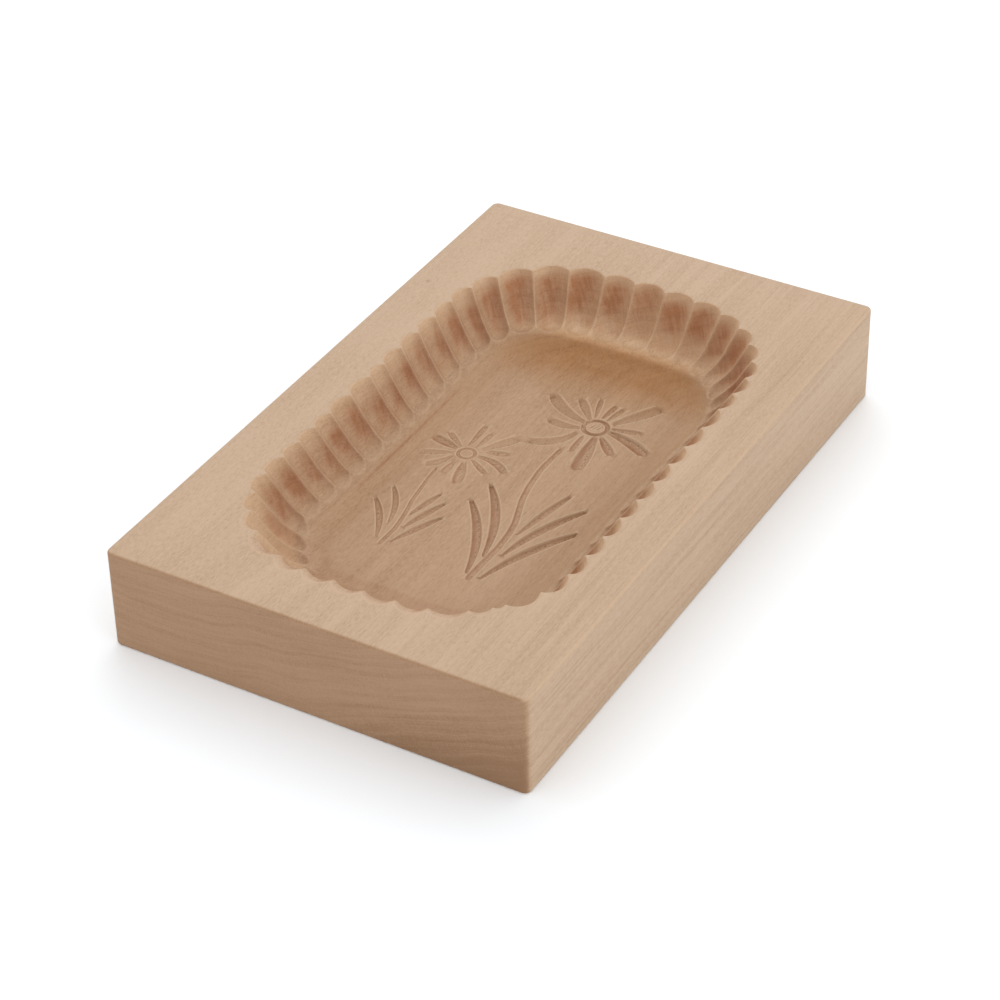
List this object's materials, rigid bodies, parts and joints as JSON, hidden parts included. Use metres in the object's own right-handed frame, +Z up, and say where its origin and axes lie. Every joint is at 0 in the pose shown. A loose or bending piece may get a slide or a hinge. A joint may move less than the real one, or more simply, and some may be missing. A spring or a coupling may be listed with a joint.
{
  "type": "butter mould",
  "caption": "Flat block of pale hardwood with a rounded rectangular hollow: fluted walls, a plain lip and a dished floor carved with flowers, for shaping a pat of butter.",
  "frame": {"origin": "centre of the base, on the plane it stands on", "axes": "+Z up out of the hollow, +Y along the long side and the grain, +X across the grain"},
  "size_m": [0.12, 0.193, 0.029],
  "materials": {
    "hardwood": "bare pale fine-grained hardwood, planed and lightly sanded, carved surfaces left from the tool"
  },
  "bodies": {
    "root": {"mould_block": "hardwood"}
  },
  "joints": []
}
